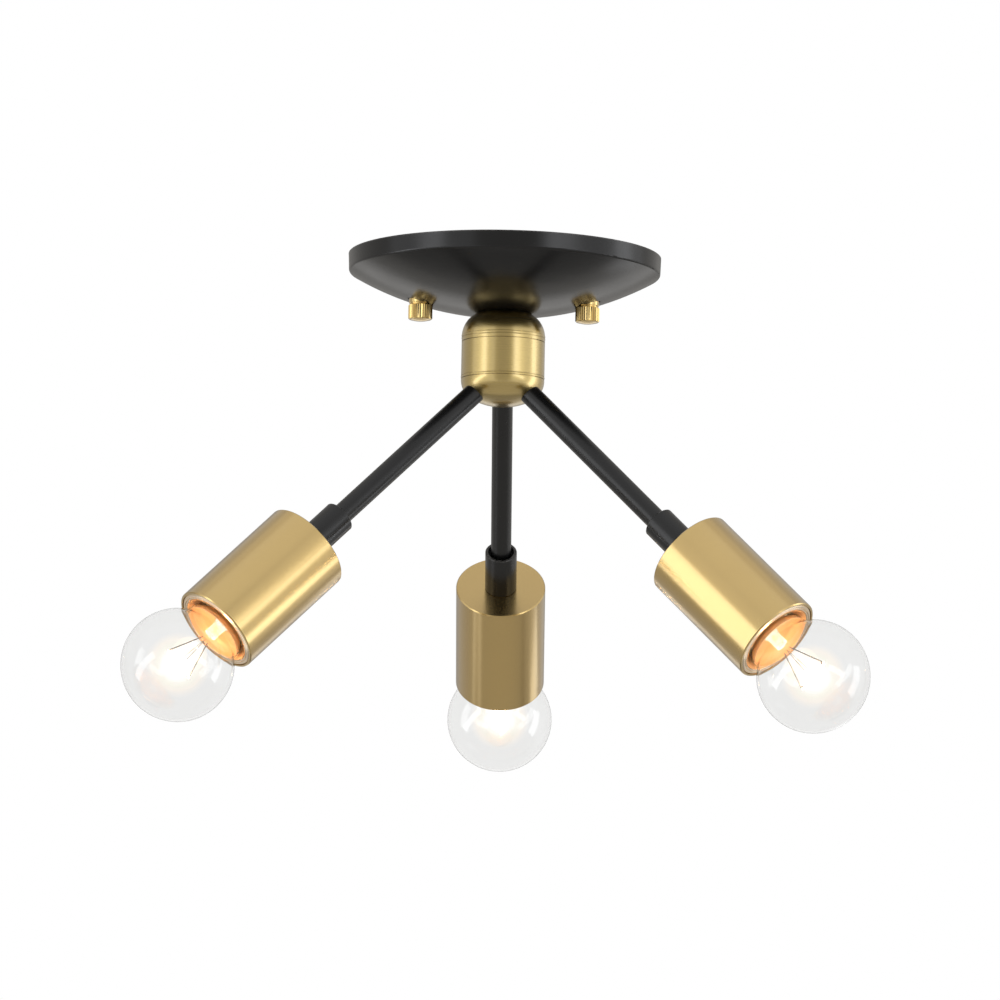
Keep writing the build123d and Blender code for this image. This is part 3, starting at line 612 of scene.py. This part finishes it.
for side in ARM_AZIMUTHS:
    dress(glass, "bulb_glass_" + side)
    nodes["bulb_glass_" + side].visible_shadow = False
    dress(stem_glass, "bulb_stem_" + side)
    dress(lamp_metal, "bulb_base_" + side)
    dress(black_glass, "bulb_insulator_" + side)
    dress(solder, "bulb_contact_" + side)
    dress(tungsten, "bulb_filament_" + side)
print("lamp:", ", ".join(m.name for m in (stem_glass, lamp_metal, black_glass, solder, tungsten)))

# %% Wires and copper of the lamp
nickel = worked("nickel_wire", (0.17, 0.16, 0.15), (0.11, 0.10, 0.10), 0.35)
warm_copper = worked("warm_copper", (0.95, 0.55, 0.24), (0.88, 0.47, 0.19), 0.4, metal=0.35)
mouth_polish = worked("mouth_polish", (1.0, 0.83, 0.62), (0.94, 0.75, 0.54), 0.05, size=500.0, lift=0.0000005)
print("lamp wires, mouth and copper:", nickel.name, mouth_polish.name, warm_copper.name)

# %% Glow
# Each is a distance along the arm, a radius, a brightness beside white paper, and a colour.
GLOW_RINGS = (
    (GLOBE_AT, 0.0045, 42.0, (1.0, 0.66, 0.36)),
    (GLOBE_AT, 0.0066, 0.30, (1.0, 0.90, 0.75)),
    (GLOBE_AT, 0.0080, 0.25, (1.0, 0.88, 0.66)),
    (GLOBE_AT, 0.0092, 0.16, (1.0, 0.86, 0.42)),
    (GLOBE_AT, 0.0104, 0.14, (1.0, 0.80, 0.18)),
    (GLOBE_AT, 0.0118, 0.12, (1.0, 0.68, 0.10)),
    (GLOBE_AT, 0.0133, 0.13, (1.0, 0.56, 0.05)),
    (GLOBE_AT, 0.0150, 0.08, (1.0, 0.58, 0.08)),
    (GLOBE_AT, 0.0170, 0.04, (1.0, 0.60, 0.20)),
    (0.2090, 0.0055, 0.22, (1.0, 0.86, 0.62)),
    (0.2100, 0.0080, 0.12, (1.0, 0.74, 0.40)),
)
for side in ARM_AZIMUTHS:
    for count, (along, radius, level, colour) in enumerate(GLOW_RINGS):
        bpy.ops.object.light_add(type="POINT", location=arm_matrix(side) @ Vector((0, 0, along)))
        glow = bpy.context.object
        glow.name = f"glow_{side}_{count}"
        glow.data.shadow_soft_size = radius
        glow.data.color = colour
        glow.data.energy = level * math.pi * 4 * math.pi * radius**2
        glow.visible_camera = False
        world_place = glow.matrix_world.copy()
        glow.parent = nodes["bulb_glass_" + side]
        glow.matrix_world = world_place
print("glow:", len(GLOW_RINGS), "round lights in each lamp")

# %% [markdown]
# ## The small pieces that CAD leaves plain
# CAD keeps threads, coils and wires as plain rods and rings, so that they stay light to simulate. Here
# they get their real form. Each is modelled once along Z, with the ordinary edit-mode tools, then copied
# to where it belongs; the copy stands for the plain CAD piece, which is hidden but still collides.

# %% Modelling helpers


def only(*pieces):
    """Select those objects and nothing else."""
    if bpy.context.object and bpy.context.object.mode != "OBJECT":
        bpy.ops.object.mode_set(mode="OBJECT")
    bpy.ops.object.select_all(action="DESELECT")
    for piece in pieces:
        piece.select_set(True)
    bpy.context.view_layer.objects.active = pieces[0] if pieces else None


def edit_all():
    """Go into edit mode with everything selected."""
    bpy.ops.object.mode_set(mode="EDIT")
    bpy.ops.mesh.select_all(action="SELECT")


def copied(model):
    """A copy of the model with its own mesh."""
    piece = model.copy()
    piece.data = model.data.copy()
    bpy.context.collection.objects.link(piece)
    return piece


def turned_piece(name, section, steps=72, closed=True):
    """Pull a circle up through (radius, height) points; a closed one joins its last ring to its first."""
    only()
    bpy.ops.mesh.primitive_circle_add(vertices=steps, radius=section[0][0])
    piece = bpy.context.object
    piece.name = name
    edit_all()
    bpy.ops.transform.translate(value=(0, 0, section[0][1]))
    for (r0, z0), (r1, z1) in zip(section, section[1:]):
        bpy.ops.mesh.extrude_region_move(TRANSFORM_OT_translate={"value": (0, 0, z1 - z0)})
        if r0 != r1:
            bpy.ops.transform.resize(value=(r1 / r0, r1 / r0, 1))
    bpy.ops.mesh.select_all(action="DESELECT")
    bpy.ops.mesh.select_non_manifold()
    if closed:
        bpy.ops.mesh.bridge_edge_loops()
    else:
        bpy.ops.mesh.fill_holes(sides=0)
    bpy.ops.object.mode_set(mode="OBJECT")
    return piece


def drawn_line(name, points):
    """A line drawn vertex by vertex through (x, z) points."""
    only()
    bpy.ops.mesh.primitive_plane_add(size=0.001)
    line = bpy.context.object
    line.name = name
    edit_all()
    bpy.ops.mesh.merge(type="CENTER")
    bpy.ops.transform.translate(value=(points[0][0], 0, points[0][1]))
    for (x0, z0), (x1, z1) in zip(points, points[1:]):
        bpy.ops.mesh.extrude_vertices_move(TRANSFORM_OT_translate={"value": (x1 - x0, 0, z1 - z0)})
    bpy.ops.object.mode_set(mode="OBJECT")
    return line


def wind(piece, rise, turns, steps):
    """Sweep the drawn line round Z, rising with each turn."""
    screw = piece.modifiers.new("winding", "SCREW")
    screw.screw_offset = rise
    screw.iterations = turns
    screw.steps = screw.render_steps = steps
    only(piece)
    bpy.ops.object.modifier_apply(modifier=screw.name)
    edit_all()
    bpy.ops.mesh.remove_doubles(threshold=0.000001)
    bpy.ops.mesh.normals_make_consistent(inside=False)
    bpy.ops.object.mode_set(mode="OBJECT")


def trim(piece, low, high):
    """Cut both ragged ends of a winding off flat, and close them."""
    only(piece)
    bpy.ops.object.mode_set(mode="EDIT")
    for height, upper in ((low, False), (high, True)):
        bpy.ops.mesh.select_all(action="SELECT")
        bpy.ops.mesh.bisect(plane_co=(0, 0, height), plane_no=(0, 0, 1), use_fill=True,
                            clear_outer=upper, clear_inner=not upper)
    bpy.ops.object.mode_set(mode="OBJECT")


def thicken(piece, wall):
    """Give a bare surface a wall; a positive one grows inward."""
    solid = piece.modifiers.new("wall", "SOLIDIFY")
    solid.thickness = abs(wall)
    solid.offset = -1.0 if wall > 0 else 1.0
    only(piece)
    bpy.ops.object.modifier_apply(modifier=solid.name)


def one_of(name, *pieces):
    """Join pieces into one object of that name."""
    only(*pieces)
    if len(pieces) > 1:
        bpy.ops.object.join()
    bpy.context.object.name = name
    return bpy.context.object


def fit(model, name, place_matrix, body, material, replaced=(), smooth=40.0):
    """A copy of the model with its own mesh, put in place, finished, and riding on its body."""
    piece = copied(model)
    piece.name = name
    only(piece)
    bpy.ops.object.shade_smooth_by_angle(angle=math.radians(smooth))
    piece.data.transform(place_matrix)
    piece.data.materials.clear()
    piece.data.materials.append(material)
    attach(piece, body)
    if replaced:
        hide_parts(*replaced)
    return piece


def outward(model):
    """Turn every face of a closed piece outward."""
    only(model)
    edit_all()
    bpy.ops.mesh.normals_make_consistent(inside=False)
    bpy.ops.object.mode_set(mode="OBJECT")


def faces_of(*models):
    """How many faces the models have."""
    return sum(len(model.data.polygons) for model in models)


HERE = Matrix.Identity(4)

# %% [markdown]
# ### Threads
# A thread is one short profile swept round an axis while it climbs by its own height each turn. The Screw
# modifier does just that. Its two ends come out ragged, so they are bisected flat. The studs and the
# nipple are seen from above, and the lamp's base and the shell show when a lamp is drawn out.

# %% Threaded studs
STUD_PITCH = 0.000794
NIPPLE_PITCH = 0.00094
CREST = (0.42, 0.58)
THREAD_TURNS = 34


def thread_line(name, core, crest, pitch):
    """One turn's profile of a thread: up to a flat crest and down again."""
    return drawn_line(name, [(core, 0), (crest, CREST[0] * pitch), (crest, CREST[1] * pitch), (core, pitch)])


stud_line = thread_line("stud", 0.00174, 0.00208, STUD_PITCH)
wind(stud_line, STUD_PITCH, THREAD_TURNS, 20)
stud_line.data.transform(Matrix.Translation((0, 0, -0.0268)))
trim(stud_line, -0.0264, -0.0010)
stud_pair = []
for x in (-THUMB_X, THUMB_X):
    stud = copied(stud_line)
    stud.data.transform(Matrix.Translation((x, 0, 0)))
    stud_pair.append(stud)
studs = one_of("stud_pair", *stud_pair)
outward(studs)
fit(studs, "threaded_studs", HERE, "fixture", zinc, ["canopy_studs"])
print("studs:", faces_of(studs), "faces")

# %% Threaded nipple
nipple = thread_line("nipple", 0.00456, 0.005, NIPPLE_PITCH)
wind(nipple, NIPPLE_PITCH, THREAD_TURNS, 36)
thicken(nipple, 0.0005)
nipple.data.transform(Matrix.Translation((0, 0, -0.0508)))
trim(nipple, -0.0500, -0.0202)
outward(nipple)
fit(nipple, "threaded_nipple", HERE, "fixture", zinc, ["centre_nipple"])
print("nipple:", faces_of(nipple), "faces")

# %% Lamp base with its rolled thread
BASE_PITCH = 0.00363
WAVE_STEPS = 8
WAVE = [0.5 - 0.5 * math.cos(2 * math.pi * step / WAVE_STEPS) for step in range(WAVE_STEPS + 1)]


def rolled_line(name, root, depth):
    """One turn's profile of a rolled thread: a single smooth wave."""
    return drawn_line(name, [(root + depth * rise, BASE_PITCH * step / WAVE_STEPS)
                             for step, rise in enumerate(WAVE)])


base_line = rolled_line("base_thread", 0.0121, 0.00085)
wind(base_line, BASE_PITCH, 6, 72)
thicken(base_line, 0.0003)
base_line.data.transform(Matrix.Translation((0, 0, 0.1690)))
trim(base_line, 0.1718, 0.1869)
base_foot = turned_piece("base_foot", [
    (0.0112, 0.1702), (0.0116, 0.1702), (0.0121, 0.1706), (0.0123, 0.1719), (0.0122, 0.1722),
    (0.0114, 0.1722),
])
base_rim = turned_piece("base_rim", [
    (0.0117, 0.1864), (0.0124, 0.1865), (0.0129, 0.1870), (0.01305, 0.1876), (0.01305, 0.1895),
    (0.0129, 0.1899), (0.01265, 0.1900), (0.0114, 0.1881), (0.0114, 0.1870),
])
lamp_base = one_of("lamp_base", base_line, base_foot, base_rim)
outward(lamp_base)
for side in ARM_AZIMUTHS:
    fit(lamp_base, "threaded_base_" + side, arm_matrix(side), "lamp_" + side, lamp_metal,
        ["bulb_base_" + side])
print("lamp base:", faces_of(lamp_base), "faces")

# %% Screw shell
shell_line = rolled_line("shell_thread", 0.01322, 0.0003)
wind(shell_line, BASE_PITCH, 8, 72)
thicken(shell_line, -0.00012)
shell_line.data.transform(Matrix.Translation((0, 0, 0.1590)))
trim(shell_line, 0.1618, 0.1852)
shell_floor = turned_piece("shell_floor", [
    (0.0068, 0.1615), (0.0134, 0.1615), (0.0134, 0.1621), (0.0068, 0.1621)
])
shell_lip = turned_piece("shell_lip", [
    (0.0132, 0.1848), (0.0137, 0.1848), (0.0137, 0.1855), (0.0132, 0.1855)
])
rivet = turned_piece("rivet", [(0.0020, 0.1620), (0.0020, 0.1623), (0.0015, 0.1626), (0.0007, 0.1628)],
                     steps=20, closed=False)
rivet.data.transform(Matrix.Translation((0, -0.0085, 0)))
shell = one_of("shell", shell_line, shell_floor, shell_lip, rivet)
outward(shell)
for side in ARM_AZIMUTHS:
    fit(shell, "rolled_shell_" + side, arm_matrix(side), "fixture", shell_brass,
        ["screw_shell_" + side])
print("screw shell:", faces_of(shell), "faces")

# %% [markdown]
# ### The mouth of a cup
# The photograph looks into two of the mouths. A polished bead closes the cup round the lamp, and mirrors
# the studio as thin lines. Inside it the lamp's light turns everything orange. What glows there can't be
# told from one picture: here it is a dished copper collar that lines the gap, and a dished disc in the
# lamp's neck.

# %% Polished bead
bead = turned_piece("bead", [
    (0.01975, 0.1886), (0.01975, 0.19255), (0.01965, 0.19280), (0.01940, 0.19295), (0.01895, 0.19308),
    (0.01850, 0.19310), (0.01822, 0.19296), (0.01812, 0.19272), (0.01802, 0.19294), (0.01775, 0.19306),
    (0.01740, 0.19304), (0.01712, 0.19287), (0.01700, 0.19255), (0.01700, 0.1886),
], steps=144)
outward(bead)
for side in ARM_AZIMUTHS:
    fit(bead, "mouth_bead_" + side, arm_matrix(side), "fixture", mouth_polish,
        ["socket_ring_" + side])
print("bead:", faces_of(bead), "faces")

# %% Copper collar and neck disc
lining = turned_piece("lining", [
    (0.01698, 0.1901), (0.01698, 0.19300), (0.01688, 0.19315), (0.01668, 0.19300), (0.01575, 0.19180),
    (0.0146, 0.1908), (0.01345, 0.1903), (0.01345, 0.1901),
], steps=96)
outward(lining)
disc = turned_piece("disc", [
    (0.0036, 0.18955), (0.0070, 0.18955), (0.0104, 0.18975), (0.0118, 0.19020), (0.0129, 0.19150),
    (0.01375, 0.19275), (0.01395, 0.19320), (0.01395, 0.19470), (0.01375, 0.19490), (0.01355, 0.19470),
    (0.01355, 0.19330), (0.0133, 0.19285), (0.0125, 0.19165), (0.0116, 0.19035), (0.0102, 0.18990),
    (0.0070, 0.18970), (0.0036, 0.18970),
], steps=96)
outward(disc)
for side in ARM_AZIMUTHS:
    fit(lining, "mouth_lining_" + side, arm_matrix(side), "fixture", warm_copper)
    fit(disc, "neck_disc_" + side, arm_matrix(side), "lamp_" + side, warm_copper)
print("lining and disc:", faces_of(lining, disc), "faces")

# %% [markdown]
# ### The globe
# The CAD's glass comes as flat triangles. To keep its outline and reflections smooth, the globe is drawn
# again as one fine line, neck, flare, blend and ball, swept round the arm's axis, and given the same
# 0.6 mm wall.

# %% Globe
NECK_R = 0.0113
FLARE_R = 0.0148
BLEND_R = 0.006
BLEND_AT = 0.194814
BLEND_ARC = 47.9
BLEND_STEPS = 8
BALL_FROM = -47.86
BALL_STEPS = 45
GLOBE_WALL = 0.0006
globe_line = [(NECK_R, 0.1840), (NECK_R, 0.1880), (0.0118, 0.18871), (0.0136, 0.19129), (FLARE_R, 0.1930)]
for step in range(BLEND_STEPS + 1):
    turn = math.radians(180 - BLEND_ARC * step / BLEND_STEPS)
    globe_line.append((FLARE_R + BLEND_R + BLEND_R * math.cos(turn), BLEND_AT + BLEND_R * math.sin(turn)))
for step in range(1, BALL_STEPS + 1):
    turn = math.radians(BALL_FROM + (90 - BALL_FROM) * step / BALL_STEPS)
    globe_line.append((max(GLOBE_R * math.cos(turn), 0.0), GLOBE_AT + GLOBE_R * math.sin(turn)))
globe = drawn_line("globe", globe_line)
wind(globe, 0.0, 1, 128)
thicken(globe, GLOBE_WALL)
for side in ARM_AZIMUTHS:
    ball = fit(globe, "clear_globe_" + side, arm_matrix(side), "lamp_" + side, glass,
               ["bulb_glass_" + side], smooth=80.0)
    ball.visible_shadow = False
print("globe:", faces_of(globe), "faces")

# %% [markdown]
# ### Fine rings on the hub
# Just above each seam of the hub the photograph shows raised lines, thinner than half a millimetre. They
# are turned rings with a rounded section, let into the brass.

# %% Hub rings
RING_LINES = (-0.0379, -0.0367, -0.0557)
LINE_FOOT_R, LINE_SIDE_R, LINE_TOP_R = 0.0188, 0.01902, 0.01912
ring_lines = []
for height in RING_LINES:
    ring_lines.append(turned_piece(f"line_{height}", [
        (LINE_FOOT_R, height - 0.00022), (LINE_SIDE_R, height - 0.00020), (LINE_TOP_R, height - 0.00008),
        (LINE_TOP_R, height + 0.00008), (LINE_SIDE_R, height + 0.00020), (LINE_FOOT_R, height + 0.00022),
    ], steps=128))
hub_lines = one_of("hub_lines", *ring_lines)
outward(hub_lines)
fit(hub_lines, "hub_ring_lines", HERE, "fixture", hub_brass)
print("hub rings:", len(RING_LINES))

# %% [markdown]
# ### Inside the globe
# A glass stem holds two lead wires, which hook round the ends of a coiled filament; two thinner wires
# hold its middle. The coil is a ring of wire wound along a line, then bent into the arc that it hangs in.

# %% Stem
STEM_TOP = 0.1965
PRESSED = ((0.0018, 0.95, 0.56), (0.0022, 0.94, 0.92), (0.0014, 1.0, 1.0), (0.0006, 0.8, 0.6))
stem = turned_piece("stem", [
    (0.0101, 0.1846), (0.0106, 0.1848), (0.0104, 0.1853), (0.0062, 0.1868), (0.0042, 0.1884),
    (0.0031, 0.1900), (0.0029, 0.1920), (0.0029, STEM_TOP),
], steps=32, closed=False)
only(stem)
bpy.ops.object.mode_set(mode="EDIT")
bpy.ops.mesh.select_all(action="DESELECT")
bpy.ops.object.mode_set(mode="OBJECT")
for face in stem.data.polygons:
    face.select = face.center.z > STEM_TOP - 0.0001 and face.normal.z > 0.9
bpy.ops.object.mode_set(mode="EDIT")
for rise, wide, flat in PRESSED:
    bpy.ops.mesh.extrude_region_move(TRANSFORM_OT_translate={"value": (0, 0, rise)})
    bpy.ops.transform.resize(value=(wide, flat, 1))
bpy.ops.object.mode_set(mode="OBJECT")
outward(stem)
for side in ARM_AZIMUTHS:
    fit(stem, "pressed_stem_" + side, arm_matrix(side), "lamp_" + side, stem_glass,
        ["bulb_stem_" + side], smooth=60.0)
print("stem:", faces_of(stem), "faces")

# %% Lead and support wires
HOOK_ARC = 230
LEAD_TIP = (0.0076, 0.0, 0.2170)
WIRE_FOOT_Z = 0.2000


def hooked_wire(name, foot, tip, thick, hook_r):
    """A wire from foot to tip whose end is spun over into a hook."""
    foot, tip = Vector(foot), Vector(tip)
    length = (tip - foot).length
    only()
    bpy.ops.mesh.primitive_circle_add(vertices=10, radius=thick, fill_type="NGON")
    wire = bpy.context.object
    wire.name = name
    edit_all()
    bpy.ops.mesh.extrude_region_move(TRANSFORM_OT_translate={"value": (0, 0, length)})
    bpy.ops.mesh.spin(steps=10, angle=math.radians(HOOK_ARC), center=(hook_r, 0, length), axis=(0, 1, 0))
    bpy.ops.object.mode_set(mode="OBJECT")
    turn = (tip - foot).to_track_quat("Z", "X").to_matrix().to_4x4()
    wire.data.transform(Matrix.Translation(foot) @ turn)
    return wire


leads = []
for hand in (-1, 1):
    lead_foot, lead_tip = (hand * 0.0018, 0, WIRE_FOOT_Z), (hand * LEAD_TIP[0], 0, LEAD_TIP[2])
    leads.append(hooked_wire(f"lead_{hand}", lead_foot, lead_tip, 0.00024, 0.0005))
    held_foot, held_tip = (0, hand * 0.0005, WIRE_FOOT_Z), (0, hand * 0.0040, 0.2164)
    leads.append(hooked_wire(f"support_{hand}", held_foot, held_tip, 0.00012, 0.0004))
wires = one_of("wires", *leads)
outward(wires)
for side in ARM_AZIMUTHS:
    fit(wires, "lead_wires_" + side, arm_matrix(side), "lamp_" + side, nickel)
print("wires:", faces_of(wires), "faces")

# %% Coiled filament
COIL_LENGTH = 0.0184
COIL_RISE = 0.00032
COIL_R = 0.00042
COIL_WIRE_R = 0.00011
COIL_SAG = 120.0
COIL_AT = (0, 0.0044, 0.2174)
only()
bpy.ops.mesh.primitive_circle_add(vertices=6, radius=COIL_WIRE_R, rotation=(math.pi / 2, 0, 0))
coil = bpy.context.object
bpy.ops.object.transform_apply(location=False, rotation=True, scale=True)
edit_all()
bpy.ops.transform.translate(value=(COIL_R, 0, 0))
bpy.ops.object.mode_set(mode="OBJECT")
coil_turns = round(COIL_LENGTH / COIL_RISE)
screw = coil.modifiers.new("winding", "SCREW")
screw.screw_offset = COIL_RISE
screw.iterations = coil_turns
screw.steps = screw.render_steps = 10
bpy.ops.object.modifier_apply(modifier=screw.name)
edit_all()
bpy.ops.mesh.remove_doubles(threshold=0.0000005)
bpy.ops.mesh.select_all(action="DESELECT")
bpy.ops.mesh.select_non_manifold()
bpy.ops.mesh.fill_holes(sides=0)
bpy.ops.object.mode_set(mode="OBJECT")
print("coil:", coil_turns, "turns")

# %% Filament's sag
coil.data.transform(Matrix.Rotation(math.pi / 2, 4, "Y") @ Matrix.Translation((0, 0, -COIL_LENGTH / 2)))
bend = coil.modifiers.new("sag", "SIMPLE_DEFORM")
bend.deform_method = "BEND"
bend.deform_axis = "Z"
bend.angle = math.radians(COIL_SAG)
only(coil)
bpy.ops.object.modifier_apply(modifier=bend.name)
coil.data.transform(Matrix.Rotation(math.pi, 4, "Z"))
middle = sum((vertex.co for vertex in coil.data.vertices), Vector()) / len(coil.data.vertices)
ends = max(vertex.co.x for vertex in coil.data.vertices)
coil.data.transform(Matrix.Translation(COIL_AT))
outward(coil)
print("filament: ends at x", round(ends, 4), "middle", [round(x, 4) for x in middle])
for side in ARM_AZIMUTHS:
    fit(coil, "filament_coil_" + side, arm_matrix(side), "lamp_" + side, tungsten,
        ["bulb_filament_" + side], smooth=60.0)

# %% [markdown]
# ### Wire ends
# From above, six wires stand up through the nipple to meet the house's own. Their sleeves are cut back,
# so each shows a twist of seven copper strands.

# %% Stranded wire ends
STRAND_R = 0.00017
STRAND_LENGTH = 0.00052
LAY_R = 0.00036
WIRE_R = 0.0029
WIRE_SPREAD = 27.0
WIRE_TOP = -0.00062
only()
bpy.ops.mesh.primitive_circle_add(vertices=8, radius=STRAND_R, fill_type="NGON")
strand = bpy.context.object
edit_all()
bpy.ops.mesh.extrude_region_move(TRANSFORM_OT_translate={"value": (0, 0, STRAND_LENGTH)})
bpy.ops.mesh.inset(thickness=0.00005)
bpy.ops.transform.translate(value=(0, 0, 0.00003))
bpy.ops.object.mode_set(mode="OBJECT")
strands = []
for azimuth in ARM_AZIMUTHS.values():
    for hand in (-1, 1):
        angle = math.radians(azimuth + hand * WIRE_SPREAD)
        heart = Vector((WIRE_R * math.cos(angle), WIRE_R * math.sin(angle), WIRE_TOP))
        for lay in range(7):
            swing = math.radians(60 * lay + 11 * hand)
            reach = LAY_R if lay else 0.0
            one = copied(strand)
            aside = Vector((reach * math.cos(swing), reach * math.sin(swing), 0))
            one.data.transform(Matrix.Translation(heart + aside))
            strands.append(one)
cores = one_of("cores", *strands)
outward(cores)
fit(cores, "wire_cores", HERE, "fixture", copper)
print("strands:", len(strands))

# %% Put the models away
for model in (stud_line, studs, nipple, lamp_base, shell, bead, lining, disc, globe, hub_lines, stem,
              wires, coil, strand, cores):
    bpy.data.objects.remove(model)
